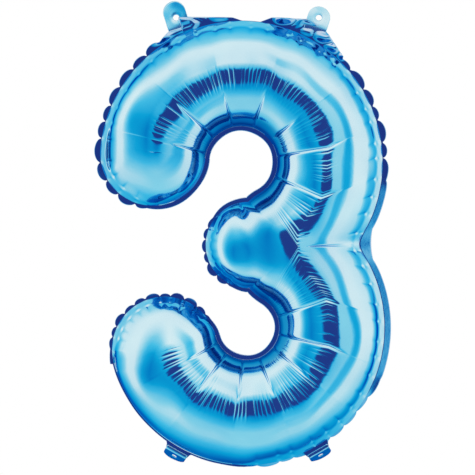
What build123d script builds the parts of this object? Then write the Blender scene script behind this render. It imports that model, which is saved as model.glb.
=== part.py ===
from build123d import *
import math
import os

# Foil number balloon, a "3" about 350 mm tall, hung from the eyelets of its two upper tabs.
# The welded seam lies in the XZ plane, the front of the numeral faces -Y, and the origin is
# midway between the two upper eyelets. All lengths are in millimetres.

# Film and seam thicknesses. The real film is about 0.04 mm thick.
panel_wall = 0.8
film = 0.4
pocket = 0.4
seam_half = film + pocket / 2
flange = 4.0
seam_lap = 0.9
fold_gap = 0.9

# Upper bowl: an arc of inflated tube about (upper_x, upper_z).
upper_x = -4.7
upper_z = -107.4
upper_radius = 65.8
upper_start = -60
upper_end = 174

# Lower bowl, and the span of its arc.
lower_x = -0.5
lower_z = -229.9
lower_radius = 63.0
lower_start = -165
lower_end = 60

# Half width and crown height of the two bowls' tube and of the middle arm's tube.
bowl_half = 39.1
bowl_crown = 28.0
arm_half = 32.1
arm_crown = 24.0
arm_root_x = 28.0
arm_tip_x = 1.1
arm_z = -168.8

# Tabs: each is a rounded tongue with a punched eyelet.
tab_half = 8.5
tab_eyelet_radius = 2.2
eyelet_x = 53.0
top_lean = 18
eyelet_to_fold = 8.0
tail_reach = 4.1
bottom_eyelet_x = 54.5
bottom_fold = 70
bottom_eyelet_to_fold = 8.0
fold_margin = 1.2

# Lands: the flange below each tab flares from the fold line towards the numeral.
outer_flare = 12.0
inner_flare = 30.0
left_land_depth = 16.0
right_land_depth = 22.0
bottom_flare = 2.0
bottom_land_depth = 6.0

# Self-sealing valve inside the inflation tail.
valve_half = 8.0
valve_length = 60.0
valve_weld = 2.0
valve_clear = 0.4
mouth_half = 6.5

os.makedirs("parts", exist_ok=True)


def arc_radius(half, crown):
    """Radius of the circular arc that spans the tube's width and rises to its crown."""
    return (half**2 + crown**2) / (2 * crown)


def crown_arc(middle, half, crown, inset, sides):
    """The tube's curved wall in cross-section, moved inwards by inset, closed to its chord."""
    radius = arc_radius(half, crown)
    foot = math.degrees(math.asin((radius - crown) / (radius - inset)))
    centre = (middle, crown - radius)
    span = sides * (90 - foot)
    wall = CenterArc(centre, radius - inset, foot, span)
    if sides == 2:
        Line(wall @ 1, wall @ 0)
    else:
        Line(wall @ 1, (middle, 0))
        Line((middle, 0), wall @ 0)


def radial_plane(x, z, angle):
    """Plane through a vertical axis at (x, z): X points outwards at angle, Y to the front."""
    turn = math.radians(angle)
    return Plane(
        origin=(x, -seam_half, z),
        x_dir=(math.cos(turn), 0, math.sin(turn)),
        z_dir=(math.sin(turn), 0, -math.cos(turn)),
    )


def rounded_end(x, z, angle, inset, half, crown, way):
    """Half dome that closes a tube at (x, z), swept from angle to the opposite side."""
    with BuildSketch(radial_plane(x, z, angle)) as slice_sketch:
        with BuildLine():
            crown_arc(0, half, crown, inset, 1)
        make_face()
    return revolve(
        slice_sketch.sketch,
        axis=Axis((x, 0, z), (0, way, 0)),
        revolution_arc=180,
        mode=Mode.PRIVATE,
    )


def bowl(x, z, radius, start, end, inset):
    """Arc of tube with a half dome at each end."""
    axis = Axis((x, 0, z), (0, -1, 0))
    with BuildSketch(radial_plane(x, z, start)) as section:
        with BuildLine():
            crown_arc(radius, bowl_half, bowl_crown, inset, 2)
        make_face()
    tube = revolve(section.sketch, axis=axis, revolution_arc=end - start, mode=Mode.PRIVATE)
    lobes = [tube]
    for angle, way in ((start, 1), (end, -1)):
        turn = math.radians(angle)
        end_x = x + radius * math.cos(turn)
        end_z = z + radius * math.sin(turn)
        lobes.append(rounded_end(end_x, end_z, angle, inset, bowl_half, bowl_crown, way))
    return lobes


def middle_arm(inset):
    """Straight tube from the junction of the bowls to the blunt tip of the middle stroke."""
    tip_plane = Plane(origin=(arm_tip_x, -seam_half, arm_z), x_dir=(0, 0, 1), z_dir=(1, 0, 0))
    with BuildSketch(tip_plane) as section:
        with BuildLine():
            crown_arc(0, arm_half, arm_crown, inset, 2)
        make_face()
    tube = extrude(section.sketch, amount=arm_root_x - arm_tip_x, mode=Mode.PRIVATE)
    tip = rounded_end(arm_tip_x, arm_z, 90, inset, arm_half, arm_crown, -1)
    return [tube, tip]


def numeral_lobes(inset):
    """All the tubes of the numeral's front half, with their walls moved inwards by inset."""
    upper = bowl(upper_x, upper_z, upper_radius, upper_start, upper_end, inset)
    lower = bowl(lower_x, lower_z, lower_radius, lower_start, lower_end, inset)
    return upper + lower + middle_arm(inset)


def bowl_outline(x, z, radius, start, end, half, mode):
    """Plan of one bowl: two concentric arcs joined by round ends."""
    with BuildLine() as outline:
        for side in (-1, 1):
            CenterArc((x, z), radius + side * half, start, end - start)
        for angle, first in ((start, start + 180), (end, end)):
            turn = math.radians(angle)
            centre = (x + radius * math.cos(turn), z + radius * math.sin(turn))
            CenterArc(centre, half, first, 180)
    make_face(outline.edges(), mode=mode)


def numeral_outline(grow, mode=Mode.ADD):
    """The numeral's plan in the seam plane, grown outwards all round by grow."""
    half = bowl_half + grow
    bowl_outline(upper_x, upper_z, upper_radius, upper_start, upper_end, half, mode)
    bowl_outline(lower_x, lower_z, lower_radius, lower_start, lower_end, half, mode)
    with Locations(((arm_root_x + arm_tip_x) / 2, arm_z)):
        SlotCenterToCenter(arm_root_x - arm_tip_x, 2 * (arm_half + grow), mode=mode)


def fold_plane(side, level):
    """Plane of an unfolded tab: origin mid fold line, Y away from the numeral, Z to the front."""
    if level == "top":
        lean = math.radians(top_lean) * side
        outward = (math.sin(lean), math.cos(lean))
        origin_x = eyelet_x * side - eyelet_to_fold * outward[0]
        origin_z = -eyelet_to_fold * outward[1]
    else:
        fold_radius = lower_radius + bowl_half + flange + fold_margin
        drop = bottom_eyelet_to_fold * math.cos(math.radians(bottom_fold))
        lean = math.asin((bottom_eyelet_x * side - lower_x) / (fold_radius + drop))
        outward = (math.sin(lean), -math.cos(lean))
        origin_x = lower_x + fold_radius * outward[0]
        origin_z = lower_z + fold_radius * outward[1]
    return Plane(
        origin=(origin_x, 0, origin_z),
        x_dir=(outward[1], 0, -outward[0]),
        z_dir=(0, -1, 0),
    )


def fold_back(plane, fold):
    """The tab's plane turned about its fold line, so that the tip moves to the back."""
    turn = math.radians(fold)
    normal = plane.z_dir * math.cos(turn) + plane.y_dir * math.sin(turn)
    return Plane(origin=plane.origin, x_dir=plane.x_dir, z_dir=normal)


top_left = fold_plane(-1, "top")
top_right = fold_plane(1, "top")
bottom_left = fold_plane(-1, "bottom")
bottom_right = fold_plane(1, "bottom")


def land(plane, left_flare, right_flare, depth):
    """Straight-edged flange that widens from the fold line to the numeral."""
    corners = (
        (-tab_half, 0),
        (tab_half, 0),
        (tab_half + right_flare, -depth),
        (-tab_half - left_flare, -depth),
    )
    points = [plane.from_local_coords(Vector(x, y, 0)) for x, y in corners]
    Polygon(*[(point.X, point.Z) for point in points])


# Front panel: the crowned film of the numeral's front half.
with BuildPart() as front_panel:
    add(numeral_lobes(0))
    add(numeral_lobes(panel_wall), mode=Mode.SUBTRACT)
front_panel.part.label = "front_panel"
export_step(front_panel.part, "parts/front_panel.step")

# Back panel: the same film, mirrored in the seam plane.
with BuildPart() as back_panel:
    mirror(front_panel.part, about=Plane.XZ)
back_panel.part.label = "back_panel"
export_step(back_panel.part, "parts/back_panel.step")

# Seam rim: the welded edge of both films, with lands below the tabs and the valve's slot.
with BuildPart() as seam_rim:
    with BuildSketch(Plane.XZ.offset(-seam_half)):
        numeral_outline(flange)
        land(top_left, outer_flare, inner_flare, left_land_depth)
        land(top_right, inner_flare, outer_flare, right_land_depth)
        land(bottom_left, bottom_flare, bottom_flare, bottom_land_depth)
        land(bottom_right, bottom_flare, bottom_flare, bottom_land_depth)
        numeral_outline(-seam_lap, mode=Mode.SUBTRACT)
    extrude(amount=2 * seam_half)
    with BuildSketch(top_left.offset(-seam_half)):
        Rectangle(2 * (valve_half + valve_clear), 2 * valve_length)
    extrude(amount=2 * seam_half, mode=Mode.SUBTRACT)
seam_rim.part.label = "seam_rim"
export_step(seam_rim.part, "parts/seam_rim.step")


def tab_outline(eyelet_y, end_y):
    """Rounded tongue from just past the fold line, with its eyelet."""
    with Locations((0, (end_y + fold_gap) / 2)):
        Rectangle(2 * tab_half, end_y - fold_gap)
    with Locations((0, end_y)):
        Circle(tab_half)
    with Locations((0, -fold_gap)):
        Rectangle(2 * tab_half, 4 * fold_gap, mode=Mode.SUBTRACT)
    with Locations((0, eyelet_y)):
        Circle(tab_eyelet_radius, mode=Mode.SUBTRACT)


def hanging_tab(name, plane, fold, eyelet_y):
    """Solid tongue of two welded films, folded back by fold about its root."""
    folded = fold_back(plane, fold)
    with BuildPart() as tab:
        with BuildSketch(folded.offset(-film)):
            tab_outline(eyelet_y, eyelet_y)
        extrude(amount=2 * film)
    tab.part.label = name
    export_step(tab.part, f"parts/{name}.step")


hanging_tab("tab_top_right", top_right, 0, eyelet_to_fold)
hanging_tab("tab_bottom_left", bottom_left, bottom_fold, bottom_eyelet_to_fold)
hanging_tab("tab_bottom_right", bottom_right, bottom_fold, bottom_eyelet_to_fold)

tail_end = eyelet_to_fold + tail_reach

# Front film of the inflation tail.
with BuildPart() as tail_film_front:
    with BuildSketch(top_left.offset(pocket / 2)):
        tab_outline(eyelet_to_fold, tail_end)
    extrude(amount=film)
tail_film_front.part.label = "tail_film_front"
export_step(tail_film_front.part, "parts/tail_film_front.step")

# Back film of the tail, with its two side welds. The mouth between them is open at the end.
with BuildPart() as tail_film_back:
    with BuildSketch(top_left.offset(-seam_half)):
        tab_outline(eyelet_to_fold, tail_end)
    extrude(amount=film)
    with BuildSketch(top_left.offset(-pocket / 2)):
        tab_outline(eyelet_to_fold, tail_end)
        with Locations((0, tail_end)):
            Rectangle(2 * mouth_half, 3 * tail_end, mode=Mode.SUBTRACT)
    extrude(amount=pocket)
tail_film_back.part.label = "tail_film_back"
export_step(tail_film_back.part, "parts/tail_film_back.step")


def valve_film(name, level):
    """One film of the flat valve tube that runs from the tail into the numeral."""
    with BuildPart() as valve:
        with BuildSketch(top_left.offset(level)):
            with Locations((0, -valve_length / 2 - fold_gap)):
                Rectangle(2 * valve_half, valve_length)
        extrude(amount=film)
    valve.part.label = name
    export_step(valve.part, f"parts/{name}.step")


valve_film("valve_film_front", pocket / 2)
valve_film("valve_film_back", -seam_half)

# Two side welds that join the valve's films into a flat tube.
with BuildPart() as valve_side_welds:
    with BuildSketch(top_left.offset(-pocket / 2)):
        for side in (-1, 1):
            weld_x = side * (valve_half - valve_weld / 2)
            with Locations((weld_x, -valve_length / 2 - fold_gap)):
                Rectangle(valve_weld, valve_length)
    extrude(amount=pocket)
valve_side_welds.part.label = "valve_side_welds"
export_step(valve_side_welds.part, "parts/valve_side_welds.step")

# Fold line, fold axis and eyelet of each tab.
places = {
    "inflation_tail": (top_left, 0, eyelet_to_fold),
    "tab_top_right": (top_right, 0, eyelet_to_fold),
    "tab_bottom_left": (bottom_left, bottom_fold, bottom_eyelet_to_fold),
    "tab_bottom_right": (bottom_right, bottom_fold, bottom_eyelet_to_fold),
}
for place_name, (plane, fold, eyelet_y) in places.items():
    folded = fold_back(plane, fold)
    eyelet = folded.from_local_coords(Vector(0, eyelet_y, 0))
    print(place_name, "fold", plane.origin, "axis", plane.x_dir, "eyelet", eyelet, folded.z_dir)
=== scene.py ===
import math

import bpy
import numpy as np
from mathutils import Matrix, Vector

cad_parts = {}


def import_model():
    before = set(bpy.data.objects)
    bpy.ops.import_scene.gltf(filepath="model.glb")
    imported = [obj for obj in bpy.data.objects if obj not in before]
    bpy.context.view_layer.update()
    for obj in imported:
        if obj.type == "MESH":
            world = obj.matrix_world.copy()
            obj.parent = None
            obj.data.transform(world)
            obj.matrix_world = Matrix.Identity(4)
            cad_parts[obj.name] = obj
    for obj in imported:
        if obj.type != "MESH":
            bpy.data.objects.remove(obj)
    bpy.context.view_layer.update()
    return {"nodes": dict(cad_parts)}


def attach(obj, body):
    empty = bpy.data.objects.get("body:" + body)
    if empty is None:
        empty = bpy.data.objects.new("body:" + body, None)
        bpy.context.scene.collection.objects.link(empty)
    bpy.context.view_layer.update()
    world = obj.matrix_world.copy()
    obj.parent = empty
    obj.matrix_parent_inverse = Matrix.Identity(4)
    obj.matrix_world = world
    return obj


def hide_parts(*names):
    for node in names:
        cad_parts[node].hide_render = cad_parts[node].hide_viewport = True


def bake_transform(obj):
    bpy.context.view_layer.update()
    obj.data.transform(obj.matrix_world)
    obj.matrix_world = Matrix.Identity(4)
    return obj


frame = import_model()

# Foil number balloon. The seam lies in the XZ plane and the front faces -Y. Lengths are in
# metres, and the tube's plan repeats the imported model's driving dimensions.
MM = 0.001
UPPER = np.array((-4.7, -107.4)) * MM
UPPER_RADIUS = 65.8 * MM
UPPER_START = -60.0
UPPER_END = 174.0
LOWER = np.array((-0.5, -229.9)) * MM
LOWER_RADIUS = 63.0 * MM
LOWER_START = -165.0
LOWER_END = 60.0
HALF = 39.1 * MM
CROWN = 28.0 * MM
ARM_HALF = 32.1 * MM
ARM_CROWN = 24.0 * MM
ARM_ROOT = np.array((28.0, -171.0)) * MM
ARM_TIP = np.array((1.1, -168.8)) * MM
JUNCTION = np.array((37.0, -170.0)) * MM
# The arm's ridge falls from its root to a blunt end.
ARM_END = np.array((-9.0, -173.0)) * MM
ARM_TOP = 25.5 * MM
ARM_SLOPE = 0.2
# The ridge falls over this length before each tip, and its slope there.
TIP_FALL = 30 * MM
TIP_SLOPE = 0.21
SEAM_GAP = 0.25 * MM

# The films pull away from the outer edge, where they lie flat in the welded flange.
FLAT_BAND = 4.6 * MM
PLEAT_PITCH = 2.9 * MM
RIB_STEP = 0.7 * MM
WALL_ROWS = 32
BAND_ROWS = 4
# Height of the film's edge above the seam plane where the band shows.
BAND_RISE = 5.2 * MM
# Places of the ribs between two pleats, close together beside each pleat.
PLEAT_RIBS = (0.0, 0.1, 0.3, 0.5, 0.7, 0.9)

# Welded flange outside the films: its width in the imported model, its rows of points, and the
# pitch and height of its scallops.
FLANGE = 4.0 * MM
FLANGE_ROWS = 9
SCALLOP_PITCH = 14.2 * MM
SCALLOP = 5.6 * MM
# Upper edge of the flange between the two upper tabs, in millimetres.
TOP_EDGE_X = (-47, -11, 4.6, 17, 47)
TOP_EDGE_Z = (0.6, 0.3, -5.4, 0.2, -1.6)
# Strip of folded flange that shows in the hollows, and the strip that rounds the waist's notch.
HOLLOW_STRIP = 3.4 * MM
WAIST_EDGE = 92 * MM
WAIST_MIDDLE = -167 * MM
WAIST_BEND = 8.5

# Tabs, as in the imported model. The tail's straight part goes on past its eyelet.
TAB_HALF = 8.5 * MM
EYELET_RADIUS = 2.2 * MM
EYELET_TO_FOLD = 8.0 * MM
TAIL_END = EYELET_TO_FOLD + 4.1 * MM
TOP_EYELET_X = 53.0 * MM
TOP_LEAN = 18
BOTTOM_EYELET_X = 54.5 * MM
BOTTOM_FOLD = 70
# How far each tab's piece reaches into its land.
TOP_ROOT = 5 * MM
BOTTOM_ROOT = 3 * MM


def arc_radius(half, crown):
    """Radius of the round arc across a tube of that half width and crown."""
    return (half**2 + crown**2) / (2 * crown)


def polar(centre, radius, degrees):
    """Points at an angle from +X towards +Z about a centre, in the seam plane."""
    turn = np.radians(degrees)
    return centre + radius * np.stack((np.cos(turn), np.sin(turn)), -1)


def smooth(low, high, value):
    """Smooth step from 0 at low to 1 at high."""
    t = np.clip((value - low) / (high - low), 0, 1)
    return t * t * (3 - 2 * t)


def direction(start, end):
    """Angle in degrees of the line from start to end."""
    return math.degrees(math.atan2(end[1] - start[1], end[0] - start[0]))


def crossing(centre_a, radius_a, centre_b, radius_b):
    """The right-hand point where two circles cross."""
    line = centre_b - centre_a
    apart = np.linalg.norm(line)
    along = (radius_a**2 - radius_b**2 + apart**2) / (2 * apart)
    across = math.sqrt(radius_a**2 - along**2)
    unit = line / apart
    return centre_a + along * unit + across * np.array((-unit[1], unit[0]))


def pleat_angles(start, end, radius, seed):
    """Angles of a bowl's pleats, at an irregular pitch along its ridge."""
    rng = np.random.default_rng(seed)
    count = round(math.radians(end - start) * radius / PLEAT_PITCH)
    gaps = 1 + 0.4 * rng.uniform(-1, 1, count)
    return start + np.concatenate(((0,), np.cumsum(gaps) / gaps.sum())) * (end - start)


UPPER_PLEATS = pleat_angles(UPPER_START, UPPER_END, UPPER_RADIUS, 3)
LOWER_PLEATS = pleat_angles(LOWER_START, LOWER_END, LOWER_RADIUS, 4)


def rib_angles(pleats):
    """Rib angles of a bowl, in rising order, without its last pleat."""
    gaps = np.diff(pleats)
    return (pleats[:-1, None] + gaps[:, None] * np.array(PLEAT_RIBS)).ravel()


# The ribs: each runs from a point on the tube's ridge to a point on its edge.
WAIST = crossing(UPPER, UPPER_RADIUS + HALF, LOWER, LOWER_RADIUS + HALF)
RIDGE_SHIFT = FLAT_BAND / 2
UPPER_TIP = polar(UPPER, UPPER_RADIUS - RIDGE_SHIFT, UPPER_END)
LOWER_TIP = polar(LOWER, LOWER_RADIUS - RIDGE_SHIFT, LOWER_START)
UPPER_CAP = polar(UPPER, UPPER_RADIUS, UPPER_END)
LOWER_CAP = polar(LOWER, LOWER_RADIUS, LOWER_START)
UPPER_ROOT = polar(UPPER, UPPER_RADIUS, UPPER_START)
LOWER_ROOT = polar(LOWER, LOWER_RADIUS, LOWER_END)


def ridge_of(bowl, degrees):
    """Ridge point of a bowl, drawn into the junction over its last 20 degrees."""
    if bowl == "upper":
        point = polar(UPPER, UPPER_RADIUS - RIDGE_SHIFT, degrees)
        pull = smooth(UPPER_START + 20, UPPER_START, degrees)
    else:
        point = polar(LOWER, LOWER_RADIUS - RIDGE_SHIFT, degrees)
        pull = smooth(LOWER_END - 20, LOWER_END, degrees)
    return point + pull[:, None] * (JUNCTION - point)


def steps(length):
    """Number of evenly spaced ribs along a stretch of that length."""
    return max(8, round(length / RIB_STEP))


def build_ribs():
    """Ridge point, edge point, zone, ridge angle and side of every rib, clockwise from the front."""
    ridge, edge, zone, angle, side = [], [], [], [], []

    def put(ridges, edges, name, angles, way):
        count = len(edges)
        ridge.append(np.broadcast_to(ridges, (count, 2)))
        edge.append(edges)
        zone.extend([name] * count)
        angle.append(np.broadcast_to(angles, (count,)))
        side.append(np.full(count, way))

    cap_count = steps(math.pi * HALF)
    arm_count = steps(math.pi * ARM_HALF)
    root_count = 16

    turn = np.linspace(UPPER_END + 180, UPPER_END, cap_count, endpoint=False)
    put(UPPER_TIP, polar(UPPER_CAP, HALF, turn), "upper_cap", turn, 0)

    turn = np.append(rib_angles(UPPER_PLEATS), UPPER_END)[:0:-1]
    waist_turn = direction(UPPER, WAIST)
    squeeze = smooth(40, UPPER_START, turn) * (waist_turn - UPPER_START)
    put(ridge_of("upper", turn), polar(UPPER, UPPER_RADIUS + HALF, turn + squeeze), "upper", turn, 1)

    turn = np.append(rib_angles(LOWER_PLEATS), LOWER_END)[:0:-1]
    waist_turn = direction(LOWER, WAIST)
    squeeze = smooth(-40, LOWER_END, turn) * (waist_turn - LOWER_END)
    put(ridge_of("lower", turn), polar(LOWER, LOWER_RADIUS + HALF, turn + squeeze), "lower", turn, 1)

    turn = np.linspace(LOWER_START, LOWER_START - 180, cap_count, endpoint=False)
    put(LOWER_TIP, polar(LOWER_CAP, HALF, turn), "lower_cap", turn, 0)

    turn = rib_angles(LOWER_PLEATS)
    put(ridge_of("lower", turn), polar(LOWER, LOWER_RADIUS - HALF, turn), "lower", turn, -1)

    low_corner = direction(LOWER_ROOT, ARM_TIP - (0, ARM_HALF))
    turn = np.linspace(LOWER_END - 180, low_corner, root_count, endpoint=False)
    put(JUNCTION, polar(LOWER_ROOT, HALF, turn), "root", turn, -1)

    turn = np.linspace(270, 90, arm_count, endpoint=False)
    reach = smooth(270, 225, turn) * smooth(90, 135, turn)
    ridges = JUNCTION + reach[:, None] * (ARM_TIP - JUNCTION)
    put(ridges, polar(ARM_TIP, ARM_HALF, turn), "arm", turn, 0)

    high_corner = direction(UPPER_ROOT, ARM_TIP + (0, ARM_HALF))
    turn = np.linspace(high_corner, UPPER_START + 180, root_count, endpoint=False)
    put(JUNCTION, polar(UPPER_ROOT, HALF, turn), "root", turn, -1)

    turn = rib_angles(UPPER_PLEATS)
    put(ridge_of("upper", turn), polar(UPPER, UPPER_RADIUS - HALF, turn), "upper", turn, -1)

    return (
        np.concatenate(ridge),
        np.concatenate(edge),
        np.array(zone),
        np.concatenate(angle),
        np.concatenate(side),
    )


RIDGE, SHARP_LINE, ZONE, ANGLE, SIDE = build_ribs()
COUNT = len(SHARP_LINE)
ROW = np.linspace(0, 1, WALL_ROWS)
ROUND = np.concatenate(((0,), np.cumsum(np.linalg.norm(np.diff(SHARP_LINE, axis=0), axis=-1))))


def rounded(line, nearness, passes):
    """Line with its corners rounded where nearness is 1."""
    for _ in range(passes):
        middle = 0.5 * (np.roll(line, 1, 0) + np.roll(line, -1, 0))
        line = line + 0.5 * nearness[:, None] * (middle - line)
    return line


# The numeral's edge line, with the notch at the waist rounded.
NOTCH = smooth(20 * MM, 8 * MM, np.abs(SHARP_LINE[:, 1] - WAIST[1])) * (SIDE > 0)
RIM_LINE = rounded(SHARP_LINE, NOTCH, 120)


def turned_out(line):
    """Unit vectors in the plan that point out of the numeral, square to its edge line."""
    along = np.roll(line, -1, 0) - np.roll(line, 1, 0)
    out = np.stack((-along[:, 1], along[:, 0]), -1)
    for _ in range(12):
        out = out + 0.5 * (np.roll(out, 1, 0) + np.roll(out, -1, 0))
        out = out / np.linalg.norm(out, axis=-1, keepdims=True)
    return out


def drawn_right(out):
    """Outward vectors, drawn towards +X at the waist, where the outer strip crosses the notch."""
    near = smooth(30 * MM, 6 * MM, np.abs(RIM_LINE[:, 1] - WAIST[1])) * (SIDE > 0)
    out = out + near[:, None] * (np.array((1.0, 0.0)) - out)
    return out / np.linalg.norm(out, axis=-1, keepdims=True)


OUT = drawn_right(turned_out(RIM_LINE))


def stretch(zone, low, high, side, soft=8):
    """Soft window over the ribs of one side of a zone, between two of its angles."""
    inside = smooth(low - soft, low + soft, ANGLE) * smooth(high + soft, high - soft, ANGLE)
    return np.where((ZONE == zone) & (SIDE == side), inside, 0.0)


# Share of the full band width that shows between film and seam, all round the edge. Where it is
# 0 the seam and its flange are folded behind the film.
BAND_SHARE = (
    stretch("upper", -90, 260, 1)
    + stretch("lower", -88, 100, 1)
    + stretch("upper_cap", 60, 255, 0, 20)
    + 0.8 * stretch("lower_cap", -325, -180, 0, 14)
    + 0.7 * stretch("arm", 140, 250, 0, 14)
)
EDGE = RIM_LINE - OUT * (FLAT_BAND * BAND_SHARE)[:, None]


def lens_height(distance, half, crown):
    """Height of a tube's circular wall at a distance from its ridge."""
    radius = arc_radius(half, crown)
    inside = np.minimum(distance, half)
    height = np.sqrt(radius**2 - inside**2) - (radius - crown)
    return height - 3 * (distance - inside)


def arc_distance(points, centre, radius, start, end):
    """Distance from a bowl's ridge arc, with round ends."""
    away = points - centre
    middle = (start + end) / 2
    turn = np.degrees(np.arctan2(away[..., 1], away[..., 0]))
    turn = (turn - middle + 180) % 360 - 180
    turn = np.clip(turn, start - middle, end - middle) + middle
    return np.linalg.norm(points - polar(centre, radius, turn), axis=-1)


def segment_distance(points, start, end):
    """Distance from a straight ridge."""
    line = end - start
    share = np.clip((points - start) @ line / (line @ line), 0, 1)
    return np.linalg.norm(points - (start + share[..., None] * line), axis=-1)


def tip_share(points, tip, heading):
    """Share of its height that a bowl keeps near its tip, towards which its ridge falls."""
    turn = math.radians(heading)
    along = (points - tip) @ np.array((math.cos(turn), math.sin(turn)))
    near = np.linalg.norm(points - tip, axis=-1) < 70 * MM
    past = np.maximum(along + TIP_FALL, 0)
    fall = np.where(past < TIP_FALL, past**2 / (2 * TIP_FALL), past - TIP_FALL / 2)
    return 1 - TIP_SLOPE * np.where(near, fall, 0) / CROWN


def crown_height(points):
    """Height of the inflated tube over the seam plane, with softened valleys between its lobes."""
    upper = arc_distance(points, UPPER, UPPER_RADIUS - RIDGE_SHIFT, UPPER_START, UPPER_END)
    lower = arc_distance(points, LOWER, LOWER_RADIUS - RIDGE_SHIFT, LOWER_START, LOWER_END)
    arm = segment_distance(points, ARM_ROOT, ARM_END)
    arm_share = (ARM_TOP - ARM_SLOPE * (ARM_ROOT[0] - points[..., 0])) / ARM_CROWN
    heights = np.stack(
        (
            lens_height(upper, HALF, CROWN) * tip_share(points, UPPER_TIP, UPPER_END + 90),
            lens_height(lower, HALF, CROWN) * tip_share(points, LOWER_TIP, LOWER_START - 90),
            lens_height(arm, ARM_HALF, ARM_CROWN) * arm_share,
        )
    )
    top = heights.max(0)
    width = np.clip(top, 0.05 * MM, 12 * MM) / 6
    return top + width * np.log(np.exp((heights - top) / width).sum(0))


# Long creases across each bowl: angle, how far they run (-1 inner edge, 0 ridge, 1 outer edge),
# and depth in millimetres.
CREASES = {
    "upper": (
        (166, -1.0, -0.2, 0.8),
        (138, -1.0, 0.0, 1.0),
        (104, -1.0, -0.25, 0.8),
        (71, -1.0, -0.2, 0.9),
        (37, -0.85, -0.3, 0.9),
        (9, -1.0, 0.3, 0.8),
        (-24, -1.0, 0.25, 1.0),
        (-60, 0.12, 0.85, 0.7),
    ),
    "lower": (
        (60, 0.12, 0.85, 0.7),
        (20, -1.0, 0.2, 0.8),
        (-12, -1.0, 0.3, 0.9),
        (-38, -1.0, -0.1, 0.9),
        (-68, -1.0, -0.2, 0.9),
        (-97, -1.0, -0.15, 0.8),
        (-128, -1.0, 0.0, 1.0),
        (-152, -1.0, -0.2, 0.7),
    ),
}
# Stretches where the pleats run deep, by angle.
DEEP_PLEATS = {
    "upper": ((136, 172), (8, 36), (-60, -26)),
    "lower": ((20, 60), (-60, -20), (-150, -120)),
}


def pleats(seed):
    """Displacement of every rib's rows by its pleats and creases."""
    rng = np.random.default_rng(seed)
    depth = np.zeros((COUNT, WALL_ROWS))
    for name, radius, valleys in (
        ("upper", UPPER_RADIUS, UPPER_PLEATS),
        ("lower", LOWER_RADIUS, LOWER_PLEATS),
    ):
        ribs = np.where(ZONE == name)[0]
        across = ROW[None, :] * SIDE[ribs][:, None]
        for valley in valleys:
            strength = rng.uniform(0.10, 0.19) * MM * (rng.random() > 0.14)
            root = UPPER_START if name == "upper" else LOWER_END
            strength = strength * float(smooth(2, 9, abs(valley - root)))
            begin = rng.uniform(0.14, 0.19)
            deep = sum(
                float(smooth(low - 3, low + 3, valley) * smooth(high + 3, high - 3, valley))
                for low, high in DEEP_PLEATS[name]
            )
            middle = 0.04 + 0.55 * deep * rng.uniform(0.3, 1.0)
            away = np.abs(np.radians(ANGLE[ribs] - valley)) * radius
            close = away < 3 * MM
            row = across[close]
            width = (0.45 - 0.2 * np.clip(-row, 0, 1)) * MM * (1 + 0.5 * deep)
            groove = np.exp(-away[close][:, None] * (1 + 0.5 * row) / width)
            along = smooth(begin, begin - 0.14, row) * smooth(-1.0, -0.9, row)
            quiet = 1 - (1 - middle) * smooth(-0.12, -0.26, row)
            depth[ribs[close]] -= strength * (1 + 0.5 * deep) * groove * along * quiet
        for crease, inner, outer, size in CREASES[name]:
            away = np.abs(np.radians(ANGLE[ribs] - crease)) * radius
            groove = np.exp(-away[:, None] * (1 + 0.5 * across) / (0.85 * MM))
            along = smooth(outer + 0.05, outer - 0.25, across) * smooth(inner - 0.02, inner + 0.12, across)
            depth[ribs] -= 1.3 * size * MM * groove * along
    return depth


def ripples(points, count, wavelength, seed):
    """Smooth random waves over the plan, about 1 high."""
    rng = np.random.default_rng(seed)
    total = np.zeros(points.shape[:-1])
    for _ in range(count):
        turn = rng.uniform(0, 2 * math.pi)
        wave = np.array((math.cos(turn), math.sin(turn))) * 2 * math.pi
        wave = wave / (wavelength * rng.uniform(0.7, 1.5))
        total = total + np.sin(points @ wave + rng.uniform(0, 2 * math.pi))
    return total / math.sqrt(count / 2)


def polygon_shift():
    """How far a bowl's ridge leaves its arc, because the tube is straight between long creases."""
    shift = np.zeros(COUNT)
    for name, radius in (("upper", UPPER_RADIUS), ("lower", LOWER_RADIUS)):
        bowl = (ZONE == name) & (SIDE != 0)
        start, end = ANGLE[bowl].min(), ANGLE[bowl].max()
        corners = [start, *sorted(crease[0] for crease in CREASES[name]), end]
        for low, high in zip(corners, corners[1:]):
            inside = (ZONE == name) & (ANGLE >= low) & (ANGLE <= high)
            turn = np.radians(ANGLE[inside] - (low + high) / 2)
            half_turn = math.radians((high - low) / 2)
            shift[inside] = radius * (1 / np.cos(turn) - 1) * 0.6 - radius * half_turn**2 / 10
        ends = smooth(start, start + 12, ANGLE) * smooth(end, end - 12, ANGLE)
        shift = np.where(bowl, shift * ends, shift)
    return shift


def surface(base, depth):
    """Base grid moved along its own normals by depth. base is (ribs, rows, 3)."""
    along = np.roll(base, -1, 0) - np.roll(base, 1, 0)
    across = np.gradient(base, axis=1)
    normal = np.cross(along, across)
    length = np.linalg.norm(normal, axis=-1, keepdims=True)
    normal = normal / np.maximum(length, 1e-12)
    normal[:, 0] = normal[:, 1]
    normal = np.where(normal[..., 1:2] > 0, -normal, normal)
    return base + normal * depth[..., None]


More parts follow.
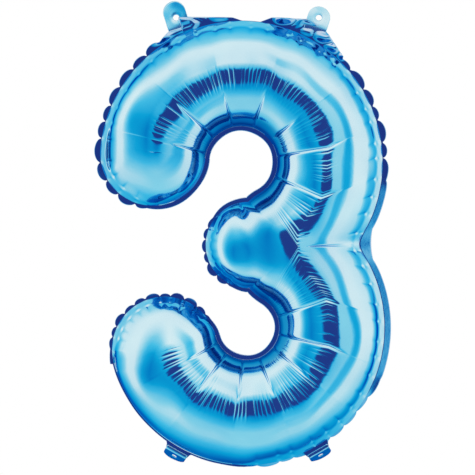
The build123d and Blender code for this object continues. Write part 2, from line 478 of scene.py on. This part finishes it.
def grid_mesh(name, points, numbers=None, painted_shade=None):
    """Mesh of a grid of points, closed round its first axis. Points with the same number become one
    vertex, and the last argument gives each point its share of painted shade."""
    count, rows = points.shape[:2]
    if numbers is None:
        numbers = np.arange(count * rows).reshape(count, rows)
    unique, inverse = np.unique(numbers.reshape(-1), return_inverse=True)
    inverse = inverse.reshape(-1)
    total = np.zeros((len(unique), 3))
    hits = np.zeros(len(unique))
    np.add.at(total, inverse, points.reshape(-1, 3))
    np.add.at(hits, inverse, 1)
    table = inverse.reshape(count, rows)
    first, second = table, np.roll(table, -1, 0)
    faces = []
    for row in range(rows - 1):
        quads = np.stack((first[:, row], second[:, row], second[:, row + 1], first[:, row + 1]), -1)
        for quad in quads.tolist():
            corners = list(dict.fromkeys(quad))
            if len(corners) > 2:
                faces.append(corners)
    mesh = bpy.data.meshes.new(name)
    mesh.from_pydata((total / hits[:, None]).tolist(), [], faces)
    mesh.validate()
    mesh.shade_smooth()
    # Painted shade, stored per vertex for the foil material.
    shade = mesh.attributes.new("painted_shade", "FLOAT", "POINT")
    if painted_shade is not None:
        values = np.zeros(len(unique))
        values[inverse] = painted_shade.reshape(-1)
        shade.data.foreach_set("value", values)
    piece = bpy.data.objects.new(name, mesh)
    bpy.context.scene.collection.objects.link(piece)
    return piece


def scallop_places(seed):
    """Pinches of the flange: running length along the edge where neighbouring scallops meet."""
    rng = np.random.default_rng(seed)
    pitch = SCALLOP_PITCH * np.where((ZONE == "lower_cap") | (ZONE == "arm"), 0.68, 1.0)
    count = np.concatenate(((0,), np.cumsum(np.diff(ROUND) / pitch[1:])))
    places = np.arange(math.ceil(count[-1])) + rng.uniform(-0.14, 0.14, math.ceil(count[-1]))
    places = np.clip(np.append(places, count[-1]), 0, count[-1])
    return np.interp(places, count, ROUND)


PINCHES = scallop_places(5)
PINCH_AWAY = np.abs(ROUND[:, None] - PINCHES[None, :]).min(1)


class Fold:
    """A tab's fold: local X runs along the fold line, Y away from the numeral, Z to the front."""

    def __init__(self, middle, outward, fold):
        self.middle = Vector(middle)
        self.out = Vector(outward).normalized()
        self.front = Vector((0, -1, 0))
        self.along = self.out.cross(self.front)
        turn = math.radians(fold)
        self.folded_out = self.out * math.cos(turn) - self.front * math.sin(turn)
        self.folded_front = self.front * math.cos(turn) + self.out * math.sin(turn)

    def place(self, x, y, z):
        """Point of the tab: y below 0 lies in the land, and y above 0 in the folded tab."""
        if y <= 0:
            return self.middle + self.along * x + self.out * y + self.front * z
        return self.middle + self.along * x + self.folded_out * y + self.folded_front * z


def top_fold(side):
    """Fold of an upper tab, 8 mm below its eyelet."""
    lean = math.radians(TOP_LEAN) * side
    out = Vector((math.sin(lean), 0, math.cos(lean)))
    return Fold(Vector((TOP_EYELET_X * side, 0, 0)) - out * EYELET_TO_FOLD, out, 0)


def bottom_fold(side):
    """Fold of a lower tab, on the circle just outside the flange."""
    fold_radius = LOWER_RADIUS + HALF + FLANGE + 1.2 * MM
    drop = EYELET_TO_FOLD * math.cos(math.radians(BOTTOM_FOLD))
    lean = math.asin((BOTTOM_EYELET_X * side - LOWER[0]) / (fold_radius + drop))
    out = Vector((math.sin(lean), 0, -math.cos(lean)))
    return Fold(Vector((LOWER[0], 0, LOWER[1])) + out * fold_radius, out, BOTTOM_FOLD)


TOP_LEFT = top_fold(-1)
TOP_RIGHT = top_fold(1)
BOTTOM_LEFT = bottom_fold(-1)
BOTTOM_RIGHT = bottom_fold(1)


def averaged(values, reach):
    """Values round the edge, each averaged with that many neighbours on both sides."""
    wrapped = np.concatenate((values[-reach:], values, values[:reach]))
    return np.convolve(wrapped, np.ones(2 * reach + 1) / (2 * reach + 1), "valid")


def valve_cover(points):
    """Half thickness of the flange: it swells over the valve that runs in from the tail."""
    origin = np.array((TOP_LEFT.middle.x, TOP_LEFT.middle.z))
    across = np.abs((points - origin) @ np.array((TOP_LEFT.along.x, TOP_LEFT.along.z)))
    up = (points - origin) @ np.array((TOP_LEFT.out.x, TOP_LEFT.out.z))
    over = smooth(13 * MM, 9 * MM, across) * smooth(-40 * MM, -30 * MM, up)
    return (0.16 + 0.62 * over) * MM


# Soft bulges of the films: place in the plan, height, length, width (millimetres) and turn.
BULGES = (
    (-90, -66, 3.2, 24, 11, 65),
    (-84, -272, 3.4, 26, 12, -60),
    (86, -240, 3.0, 30, 13, 90),
    (-6, -172, 0.9, 12, 22, 0),
    (15, -170, -1.0, 13, 16, 0),
)


def bulge(points):
    """Height added to the films by their bulges and dents."""
    total = np.zeros(points.shape[:-1])
    for x, z, height, length, width, turn in BULGES:
        away = points / MM - (x, z)
        cosine, sine = math.cos(math.radians(turn)), math.sin(math.radians(turn))
        along = (away[..., 0] * cosine + away[..., 1] * sine) / length
        across = (away[..., 1] * cosine - away[..., 0] * sine) / width
        total = total + height * MM * np.exp(-(along**2) - across**2)
    return total


def panel(name, way, seed):
    """One crowned film of the numeral: way 1 is the front and -1 the back."""
    foot = math.asin(HALF / arc_radius(HALF, CROWN))
    share = np.sin(ROW * foot) / math.sin(foot)
    plan = RIDGE[:, None, :] + (EDGE - RIDGE)[:, None, :] * share[None, :, None]
    height = crown_height(plan)
    seam_height = np.maximum(SEAM_GAP, valve_cover(RIM_LINE) + 0.1 * MM)
    foot_height = seam_height + BAND_RISE * BAND_SHARE
    height = height + (foot_height - height[:, -1])[:, None] * share**8
    bow = polygon_shift()[:, None] * (1 - share**2)[None, :] ** 2
    plan = plan + bow[..., None] * (OUT * np.where(SIDE < 0, -1, 1)[:, None])[:, None, :]
    base = np.stack((plan[..., 0], -np.maximum(height, 0), plan[..., 1]), -1)
    soft = bulge(plan) * smooth(1.0, 0.8, ROW)
    soft = soft + 0.35 * MM * ripples(plan, 9, 42 * MM, seed + 50) * smooth(1.0, 0.75, ROW)
    pucker = -0.7 * MM * np.exp(-PINCH_AWAY / (1.6 * MM))[:, None] * smooth(0.7, 0.97, ROW)
    pucker = pucker * BAND_SHARE[:, None] * smooth(1.0, 0.98, ROW)
    moved = surface(base, pleats(seed) + soft + pucker)
    out = np.linspace(0, 1, BAND_ROWS + 1)[1:]
    band_plan = EDGE[:, None, :] + (RIM_LINE - EDGE)[:, None, :] * out[None, :, None]
    sag = 0.5 * MM * np.exp(-PINCH_AWAY / (1.2 * MM))[:, None] * np.sin(math.pi * out)[None, :]
    band_height = foot_height[:, None] * (1 - out) + seam_height[:, None] * out - sag * BAND_SHARE[:, None]
    band = np.stack((band_plan[..., 0], -band_height, band_plan[..., 1]), -1)
    moved = np.concatenate((moved, band), 1)
    moved[..., 1] *= way
    numbers = np.arange(moved.shape[0] * moved.shape[1]).reshape(moved.shape[:2])
    shared = {}
    for rib in range(COUNT):
        key = tuple(np.round(RIDGE[rib] / MM, 3))
        numbers[rib, 0] = shared.setdefault(key, numbers[rib, 0])
    # Painted shade and painted dark reflections: the inner walls of the hollows darken in two steps across
    # the wall, standing in for the shade and dark reflections that the facing walls give there.
    inner = averaged(np.where(SIDE < 0, 1.0, 0.0), 12)
    painted_shade = inner[:, None] * (0.45 * smooth(0.64, 0.72, ROW) + 0.4 * smooth(0.85, 0.89, ROW))
    painted_shade = np.concatenate((painted_shade, np.repeat(painted_shade[:, -1:], BAND_ROWS, 1)), 1)
    return grid_mesh(name, moved, numbers, painted_shade)


front = panel("foil_front", 1, 11)
back = panel("foil_back", -1, 12)


def land_reach(fold, left_flare, right_flare, depth):
    """How far past the seam each rib's flange reaches to fill the land below a tab, or 0."""
    origin = np.array((fold.middle.x, fold.middle.z))
    out = np.array((fold.out.x, fold.out.z))
    along = np.array((fold.along.x, fold.along.z))
    reach = np.linspace(0, 26 * MM, 131)
    points = RIM_LINE[:, None, :] + OUT[:, None, :] * reach[None, :, None] - origin
    across, up = points @ along, points @ out
    flare = np.clip(-up / depth, 0, 1)
    right = TAB_HALF + right_flare * flare
    left = -TAB_HALF - left_flare * flare
    inside = (up <= 0) & (up > -depth * 1.6) & (across < right) & (across > left)
    return np.where(inside, reach[None, :], 0).max(1)


# The land below each tab: its fold, how far it flares to the left and right, and its depth.
LANDS = (
    (TOP_LEFT, 20 * MM, 30 * MM, 12 * MM),
    (TOP_RIGHT, 30 * MM, 18 * MM, 14 * MM),
    (BOTTOM_LEFT, 2 * MM, 2 * MM, 6 * MM),
    (BOTTOM_RIGHT, 2 * MM, 2 * MM, 6 * MM),
)


def waist_fill():
    """How far the flange reaches past the seam at the waist, where its edge rounds the notch."""
    away = np.abs(RIM_LINE[:, 1] - WAIST_MIDDLE)
    strip_edge = WAIST_EDGE + WAIST_BEND * (RIM_LINE[:, 1] - WAIST_MIDDLE) ** 2
    waist = (OUT[:, 0] > 0.4) & (away < 44 * MM) & (SIDE > 0)
    fill = np.where(waist, (strip_edge - RIM_LINE[:, 0]) / np.maximum(OUT[:, 0], 0.4), 0)
    return np.clip(fill, 0, 13 * MM) * smooth(46 * MM, 26 * MM, away)


def seam_flange():
    """Welded edge outside the films: scallops, folded stretches and the lands below the tabs."""
    rng = np.random.default_rng(8)
    index = np.clip(np.searchsorted(PINCHES, ROUND, side="right") - 1, 0, len(PINCHES) - 2)
    share = (ROUND - PINCHES[index]) / np.maximum(PINCHES[index + 1] - PINCHES[index], 0.1 * MM)
    size = rng.uniform(0.7, 1.0, len(PINCHES))[index]
    length = (PINCHES[index + 1] - PINCHES[index]) / SCALLOP_PITCH
    lobe = np.clip(4 * share * (1 - share), 0, 1) ** 0.5 * size * np.clip(length, 0, 1.1)
    smooth_strip = stretch("upper", -90, -22, 1, 10) + stretch("lower", -25, 100, 1, 12)
    shallow = stretch("lower", -90, -25, 1, 12)
    thin = stretch("lower", -175, -92, 1, 10)
    lobe = lobe * (1 - 0.55 * shallow) * (1 - 0.72 * thin)
    width = SCALLOP * (lobe * (1 - smooth_strip) + 0.9 * smooth_strip)
    width = np.maximum(width, 0.25 * MM)
    lands = np.zeros(COUNT)
    for fold, left, right, depth in LANDS:
        lands = np.maximum(lands, land_reach(fold, left, right, depth))
    level = np.interp(RIM_LINE[:, 0], np.array(TOP_EDGE_X) * MM, np.array(TOP_EDGE_Z) * MM)
    top = (OUT[:, 1] > 0.6) & (RIM_LINE[:, 1] > -30 * MM) & (np.abs(RIM_LINE[:, 0]) < 47 * MM)
    rise = np.clip((level - RIM_LINE[:, 1]) / np.maximum(OUT[:, 1], 0.6), 0.3 * MM, 12 * MM)
    lands = np.where(top, np.maximum(lands, rise), lands)
    width = np.where(top, 0.3 * MM, width)
    width = np.maximum(np.maximum(width, lands), waist_fill())
    hollow = averaged(1 - np.clip(BAND_SHARE * 1.4, 0, 1), 15)
    width = np.where(lands > 0, width, width * (1 - hollow))
    strip = HOLLOW_STRIP * (1 - 0.65 * thin) * (1 + 0.05 * np.sin(ROUND / (5 * MM)))
    width = np.maximum(width, strip * hollow)
    flat_share = np.maximum(hollow, smooth_strip)
    tilt = np.radians(rng.uniform(-5, 5, len(PINCHES)))[index] + np.radians(16) * shallow
    lean = tilt * (1 - flat_share) + np.radians(4) * flat_share + np.radians(3.6) * smooth_strip
    lean = lean * (lands < 1 * MM)
    steps_out = np.linspace(0, 1, FLANGE_ROWS)
    reach = width[:, None] * steps_out[None, :]
    plan = RIM_LINE[:, None, :] + OUT[:, None, :] * (reach * np.cos(lean)[:, None])[..., None]
    back_off = reach * np.sin(lean)[:, None]
    on_land = smooth(0.5 * MM, 5 * MM, lands)[:, None]
    on_land = on_land * (plan[..., 1] > -60 * MM) * smooth(14 * MM, 22 * MM, np.abs(plan[..., 0] - 4 * MM))
    crumple = np.abs(ripples(plan, 5, 22 * MM, 77)) * 2.0 * MM * smooth(0, 5 * MM, reach) * on_land
    crumple = crumple * smooth(0, 5 * MM, fold_distance(plan))
    cup = 0.35 * MM * np.clip(reach / SCALLOP, 0, 1) ** 2 * (1 - on_land) * (1 - flat_share)[:, None]
    middle = back_off - cup
    half = valve_cover(plan) + crumple
    lap = RIM_LINE - OUT * 1.0 * MM
    front_side = np.stack((plan[..., 0], middle - half, plan[..., 1]), -1)
    back_side = np.stack((plan[..., 0], middle + half, plan[..., 1]), -1)[:, ::-1]
    inner_half = valve_cover(lap) * 0.8
    start = np.stack((lap[:, 0], -inner_half, lap[:, 1]), -1)[:, None]
    end = np.stack((lap[:, 0], inner_half, lap[:, 1]), -1)[:, None]
    return grid_mesh("seam_flange", np.concatenate((start, front_side, back_side, end), 1))


def fold_distance(plan):
    """Distance of points from the nearest fold line of a tab."""
    nearest = np.full(plan.shape[:-1], 1.0)
    for fold in (TOP_LEFT, TOP_RIGHT, BOTTOM_LEFT, BOTTOM_RIGHT):
        middle = np.array((fold.middle.x, fold.middle.z))
        along = np.array((fold.along.x, fold.along.z)) * TAB_HALF
        nearest = np.minimum(nearest, segment_distance(plan, middle - along, middle + along))
    return nearest


flange = seam_flange()


def tongue(name, fold, eyelet, end, root, layer, shape):
    """Rounded tab with a punched eyelet. shape gives its height at a local point, and layer its
    two faces' offsets. eyelet and end are heights over the fold line, and root is below it."""
    turns = 96
    rings = 12
    rows = []
    for step in range(turns):
        turn = 2 * math.pi * step / turns
        way = (math.cos(turn), math.sin(turn))
        low, high = EYELET_RADIUS, 30 * MM
        for _ in range(30):
            middle = (low + high) / 2
            x, y = way[0] * middle, eyelet + way[1] * middle
            inside = abs(x) < TAB_HALF and y > -root
            if y > end:
                inside = inside and math.hypot(x, y - end) < TAB_HALF
            if inside:
                low = middle
            else:
                high = middle
        row = []
        for face, order in ((layer[1], range(rings)), (layer[0], reversed(range(rings)))):
            for ring in order:
                radius = EYELET_RADIUS + (low - EYELET_RADIUS) * ring / (rings - 1)
                x, y = way[0] * radius, eyelet + way[1] * radius
                row.append(fold.place(x, y, shape(x, y) + face))
        row.append(row[0])
        rows.append(row)
    points = np.array(rows)
    numbers = np.arange(points.shape[0] * points.shape[1]).reshape(points.shape[:2])
    numbers[:, -1] = numbers[:, 0]
    return grid_mesh(name, points, numbers)


def curl(amount, twist, dimple):
    """Gentle bend of a tab, with a dimple round its eyelet."""

    def height(x, y):
        rise = (max(y, 0) / (16 * MM)) ** 1.4
        away = math.hypot(x, y - EYELET_TO_FOLD)
        wave = 0.25 * MM * math.sin(x / (2.6 * MM)) * math.cos(y / (3.4 * MM)) * rise
        ring = dimple * math.exp(-(((away - EYELET_RADIUS) / (1.4 * MM)) ** 2))
        return amount * rise + twist * x * rise + wave - ring

    return height


FILM = 0.12 * MM
# Each tab's piece, its body, the node it replaces, its material slot and its fold.
tab_pieces = (
    (
        tongue("tail_front", TOP_LEFT, EYELET_TO_FOLD, TAIL_END, TOP_ROOT, (0.35 * MM, 0.35 * MM + FILM),
               curl(-2.2 * MM, 0.2, 0.3 * MM)),
        "inflation_tail", "tail_film_front", "tail_foil", TOP_LEFT,
    ),
    (
        tongue("tail_back", TOP_LEFT, EYELET_TO_FOLD, TAIL_END, TOP_ROOT, (-0.35 * MM - FILM, -0.35 * MM),
               curl(-2.6 * MM, 0.19, -0.2 * MM)),
        "inflation_tail", "tail_film_back", "tail_foil", TOP_LEFT,
    ),
    (
        tongue("top_right_tongue", TOP_RIGHT, EYELET_TO_FOLD, EYELET_TO_FOLD, TOP_ROOT,
               (-0.32 * MM, 0.32 * MM), curl(-3.6 * MM, -0.08, 0.25 * MM)),
        "top_right_tab", "tab_top_right", "tab_foil", TOP_RIGHT,
    ),
    (
        tongue("bottom_left_tongue", BOTTOM_LEFT, EYELET_TO_FOLD, EYELET_TO_FOLD, BOTTOM_ROOT,
               (-0.32 * MM, 0.32 * MM), curl(0.2 * MM, 0.05, 0.25 * MM)),
        "bottom_left_tab", "tab_bottom_left", "tab_foil", BOTTOM_LEFT,
    ),
    (
        tongue("bottom_right_tongue", BOTTOM_RIGHT, EYELET_TO_FOLD, EYELET_TO_FOLD, BOTTOM_ROOT,
               (-0.32 * MM, 0.32 * MM), curl(0.2 * MM, -0.05, 0.25 * MM)),
        "bottom_right_tab", "tab_bottom_right", "tab_foil", BOTTOM_RIGHT,
    ),
)


# The film's tint at grazing angles, and the dark navy painted on the inner walls of the hollows as painted
# shade and painted dark reflections.
EDGE_TINT = (0.12, 0.55, 0.92)
HOLLOW_SHADE_PAINT = (0.02, 0.10, 0.36)


def material(name):
    """New node material: its tree and its shader."""
    made = bpy.data.materials.new(name)
    made.use_nodes = True
    return made, made.node_tree, made.node_tree.nodes["Principled BSDF"]


def foil(name, colour, dark, roughness):
    """Coloured metal film with faint mottling, fine crinkles and painted shade on the inner walls of its
    hollows.
    """
    made, tree, shader = material(name)
    shader.inputs["Metallic"].default_value = 1.0
    shader.inputs["Roughness"].default_value = roughness
    shader.inputs["Specular Tint"].default_value = (*EDGE_TINT, 1)
    coordinates = tree.nodes.new("ShaderNodeTexCoord")
    mottle = tree.nodes.new("ShaderNodeTexNoise")
    mottle.inputs["Scale"].default_value = 22.0
    mottle.inputs["Detail"].default_value = 3.0
    ramp = tree.nodes.new("ShaderNodeValToRGB")
    ramp.color_ramp.elements[0].position = 0.3
    ramp.color_ramp.elements[0].color = (*dark, 1)
    ramp.color_ramp.elements[1].position = 0.7
    ramp.color_ramp.elements[1].color = (*colour, 1)
    # Painted shade: a per-vertex attribute mixes dark navy into the base colour on the hollows' inner
    # walls.
    shade = tree.nodes.new("ShaderNodeAttribute")
    shade.attribute_name = "painted_shade"
    shaded = tree.nodes.new("ShaderNodeMix")
    shaded.data_type = "RGBA"
    shaded.inputs["B"].default_value = (*HOLLOW_SHADE_PAINT, 1)
    crinkle = tree.nodes.new("ShaderNodeTexNoise")
    crinkle.inputs["Scale"].default_value = 260.0
    crinkle.inputs["Detail"].default_value = 4.0
    bump = tree.nodes.new("ShaderNodeBump")
    bump.inputs["Strength"].default_value = 0.06
    bump.inputs["Distance"].default_value = 0.0004
    link = tree.links.new
    link(coordinates.outputs["Object"], mottle.inputs["Vector"])
    link(coordinates.outputs["Object"], crinkle.inputs["Vector"])
    link(mottle.outputs["Fac"], ramp.inputs["Fac"])
    link(shade.outputs["Fac"], shaded.inputs["Factor"])
    link(ramp.outputs["Color"], shaded.inputs["A"])
    link(shaded.outputs["Result"], shader.inputs["Base Color"])
    link(crinkle.outputs["Fac"], bump.inputs["Height"])
    link(bump.outputs["Normal"], shader.inputs["Normal"])
    return made


BLUE = foil("blue_foil", (0.115, 0.45, 0.78), (0.095, 0.40, 0.74), 0.08)
BLUE_BACK = foil("blue_foil_back", (0.105, 0.42, 0.76), (0.085, 0.37, 0.71), 0.10)
SEAM = foil("foil_seam", (0.10, 0.37, 0.73), (0.08, 0.31, 0.66), 0.10)
TAB = foil("tab_foil", (0.13, 0.46, 0.78), (0.10, 0.41, 0.74), 0.20)
TAIL = foil("tail_foil", (0.13, 0.46, 0.78), (0.10, 0.41, 0.74), 0.20)


def valve_plastic(name, colour, roughness):
    """Clear plastic film of the valve, slightly milky, with a fine haze."""
    made, tree, shader = material(name)
    shader.inputs["Roughness"].default_value = roughness
    shader.inputs["IOR"].default_value = 1.5
    coordinates = tree.nodes.new("ShaderNodeTexCoord")
    haze = tree.nodes.new("ShaderNodeTexNoise")
    haze.inputs["Scale"].default_value = 90.0
    ramp = tree.nodes.new("ShaderNodeValToRGB")
    ramp.color_ramp.elements[0].color = (*(0.8 * value for value in colour), 1)
    ramp.color_ramp.elements[1].color = (*colour, 1)
    tree.links.new(coordinates.outputs["Object"], haze.inputs["Vector"])
    tree.links.new(haze.outputs["Fac"], ramp.inputs["Fac"])
    tree.links.new(ramp.outputs["Color"], shader.inputs["Base Color"])
    return made


VALVE = valve_plastic("valve_film", (0.78, 0.84, 0.88), 0.35)
VALVE_WELD = valve_plastic("valve_weld", (0.62, 0.72, 0.80), 0.5)

front.data.materials.append(BLUE)
back.data.materials.append(BLUE_BACK)
flange.data.materials.append(SEAM)
for piece, node, slot in (
    (front, "front_panel", "blue_foil"),
    (back, "back_panel", "blue_foil_back"),
    (flange, "seam_rim", "foil_seam"),
):
    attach(piece, "numeral")
    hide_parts(node)

for node, made in (
    ("valve_film_front", VALVE),
    ("valve_film_back", VALVE),
    ("valve_side_welds", VALVE_WELD),
):
    for slot in frame["nodes"][node].material_slots:
        slot.material = made


for piece, body, node, slot, fold in tab_pieces:
    piece.data.materials.append(TAIL if slot == "tail_foil" else TAB)
    fold.place(0, -0.8 * MM, 0)
    fold.place(0, 1.6 * MM, 0)
    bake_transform(piece)
    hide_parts(node)


def chain(tree, kind, operation, *inputs):
    """Math or vector math node with its inputs linked or set."""
    node = tree.nodes.new(kind)
    node.operation = operation
    for number, value in enumerate(inputs):
        if isinstance(value, bpy.types.NodeSocket):
            tree.links.new(value, node.inputs[number])
        else:
            node.inputs[number].default_value = value
    return node.outputs["Value"] if "Value" in node.outputs else node.outputs[0]


# What the foil gives back of a light in front of it, and the tones that its reflections have,
# from dark to bright.
FOIL_GIVES = (0.105, 0.425, 0.76)
TONES = (
    (0.013, 0.042, 0.24),
    (0.004, 0.10, 0.38),
    (0.001, 0.20, 0.55),
    (0.003, 0.36, 0.68),
    (0.05, 0.49, 0.77),
    (0.21, 0.61, 0.79),
    (0.60, 0.80, 0.87),
)
NAVY, DEEP, BLUE_TONE, AZURE, CYAN, SKY, PALE = range(7)

# Strength of the surroundings in reflections, of the backdrop and of the plain fill light.
WORLD_LIGHT = 1.0
BACKDROP_LIGHT = 1.0
PLAIN_LIGHT = 0.9

# Studio surroundings: the tone at each angle away from the camera, in degrees, on four sides.
SURROUNDINGS = {
    "above": ((0, NAVY), (14, NAVY), (17, CYAN), (22, SKY), (29, PALE), (74, PALE), (88, SKY),
              (110, CYAN), (135, AZURE), (180, BLUE_TONE)),
    "right": ((0, NAVY), (16, NAVY), (20, SKY), (38, SKY), (44, AZURE), (52, AZURE), (61, PALE),
              (98, PALE), (112, CYAN), (135, AZURE), (158, BLUE_TONE), (180, DEEP)),
    "below": ((0, NAVY), (14, NAVY), (17, BLUE_TONE), (26, AZURE), (36, CYAN), (48, SKY), (74, SKY),
              (86, CYAN), (98, AZURE), (112, BLUE_TONE), (135, DEEP), (180, DEEP)),
    "left": ((0, NAVY), (14, NAVY), (17, AZURE), (34, BLUE_TONE), (48, AZURE), (58, SKY), (66, PALE),
             (84, PALE), (96, SKY), (108, CYAN), (130, AZURE), (150, BLUE_TONE), (180, DEEP)),
}


def lamp(tone):
    """Colour of the light that the foil gives back as that tone."""
    return tuple(value / given for value, given in zip(tone, FOIL_GIVES))


def tone_ramp(tree, stops):
    """Colour ramp node with a stop at each (position, colour)."""
    node = tree.nodes.new("ShaderNodeValToRGB")
    while len(node.color_ramp.elements) < len(stops):
        node.color_ramp.elements.new(0.5)
    for element, (position, colour) in zip(node.color_ramp.elements, stops):
        element.position = position
        element.color = (*colour, 1)
    return node


def world():
    """Studio surroundings: soft boxes all round, with a dark opening behind the camera."""
    scene_world = bpy.data.worlds.new("studio")
    bpy.context.scene.world = scene_world
    scene_world.use_nodes = True
    tree = scene_world.node_tree
    tree.nodes.clear()
    link = tree.links.new
    coordinates = tree.nodes.new("ShaderNodeTexCoord")
    split = tree.nodes.new("ShaderNodeSeparateXYZ")
    link(coordinates.outputs["Generated"], split.inputs["Vector"])
    across, depth, up = (split.outputs[axis] for axis in "XYZ")
    forward = chain(tree, "ShaderNodeMath", "MULTIPLY", depth, -1.0)
    share = chain(tree, "ShaderNodeMath", "ARCCOSINE", forward)
    share = chain(tree, "ShaderNodeMath", "DIVIDE", share, math.pi)
    squares = []
    for axis in (across, up):
        squares.append(chain(tree, "ShaderNodeMath", "MULTIPLY", axis, axis))
    total = chain(tree, "ShaderNodeMath", "ADD", *squares)
    total = chain(tree, "ShaderNodeMath", "MAXIMUM", total, 1e-5)
    level = 0.0
    for name, axis, sign in (
        ("above", up, 1),
        ("below", up, -1),
        ("right", across, 1),
        ("left", across, -1),
    ):
        stops = [(angle / 180, (tone / PALE,) * 3) for angle, tone in SURROUNDINGS[name]]
        ring = tone_ramp(tree, stops)
        link(share, ring.inputs["Fac"])
        part = chain(tree, "ShaderNodeMath", "MULTIPLY", axis, float(sign))
        part = chain(tree, "ShaderNodeMath", "MAXIMUM", part, 0.0)
        part = chain(tree, "ShaderNodeMath", "MULTIPLY", part, part)
        part = chain(tree, "ShaderNodeMath", "DIVIDE", part, total)
        part = chain(tree, "ShaderNodeMath", "MULTIPLY", part, ring.outputs["Color"])
        level = chain(tree, "ShaderNodeMath", "ADD", part, level)
    palette = tone_ramp(tree, [(number / PALE, lamp(tone)) for number, tone in enumerate(TONES)])
    link(level, palette.inputs["Fac"])
    around = tree.nodes.new("ShaderNodeBackground")
    around.inputs["Strength"].default_value = WORLD_LIGHT
    link(palette.outputs["Color"], around.inputs["Color"])
    white, plain = (tree.nodes.new("ShaderNodeBackground") for _ in range(2))
    for background, strength in ((white, BACKDROP_LIGHT), (plain, PLAIN_LIGHT)):
        background.inputs["Color"].default_value = (1, 1, 1, 1)
        background.inputs["Strength"].default_value = strength
    path = tree.nodes.new("ShaderNodeLightPath")
    matte = tree.nodes.new("ShaderNodeMixShader")
    mix = tree.nodes.new("ShaderNodeMixShader")
    output = tree.nodes.new("ShaderNodeOutputWorld")
    link(path.outputs["Is Diffuse Ray"], matte.inputs["Fac"])
    link(around.outputs["Background"], matte.inputs[1])
    link(plain.outputs["Background"], matte.inputs[2])
    link(path.outputs["Is Camera Ray"], mix.inputs["Fac"])
    link(matte.outputs["Shader"], mix.inputs[1])
    link(white.outputs["Background"], mix.inputs[2])
    link(mix.outputs["Shader"], output.inputs["Surface"])


world()

bpy.context.scene.view_settings.view_transform = "Standard"

# Pale floor below the balloon, which hangs clear of it.
FLOOR_RADIUS = 0.8
FLOOR_DROP = 0.46
FLOOR_STEPS = 96
floor_mesh = bpy.data.meshes.new("floor")
floor_turns = [2 * math.pi * step / FLOOR_STEPS for step in range(FLOOR_STEPS)]
floor_mesh.from_pydata(
    [(FLOOR_RADIUS * math.cos(turn), FLOOR_RADIUS * math.sin(turn), -FLOOR_DROP) for turn in floor_turns],
    [],
    [list(range(FLOOR_STEPS))],
)
floor = bpy.data.objects.new("floor", floor_mesh)
bpy.context.scene.collection.objects.link(floor)
pale, _, pale_shader = material("floor_pale")
pale_shader.inputs["Base Color"].default_value = (0.86, 0.87, 0.88, 1)
pale_shader.inputs["Roughness"].default_value = 0.9
pale_shader.inputs["Specular IOR Level"].default_value = 0.0
floor_mesh.materials.append(pale)
floor.visible_glossy = False

# Camera straight in front, far away, framing the balloon as wide as the photograph does.
FRAME_WIDTH = 0.3525
FRAME_MIDDLE = Vector((-0.0074, 0, -0.1632))
CAMERA_AWAY = 2.0
SENSOR_WIDTH = 36
camera_data = bpy.data.cameras.new("camera")
camera = bpy.data.objects.new("camera", camera_data)
bpy.context.scene.collection.objects.link(camera)
camera.location = FRAME_MIDDLE + Vector((0, -CAMERA_AWAY, 0))
camera.rotation_euler = (math.pi / 2, 0, 0)
camera_data.sensor_width = SENSOR_WIDTH
camera_data.lens = SENSOR_WIDTH * CAMERA_AWAY / FRAME_WIDTH
bpy.context.scene.camera = camera
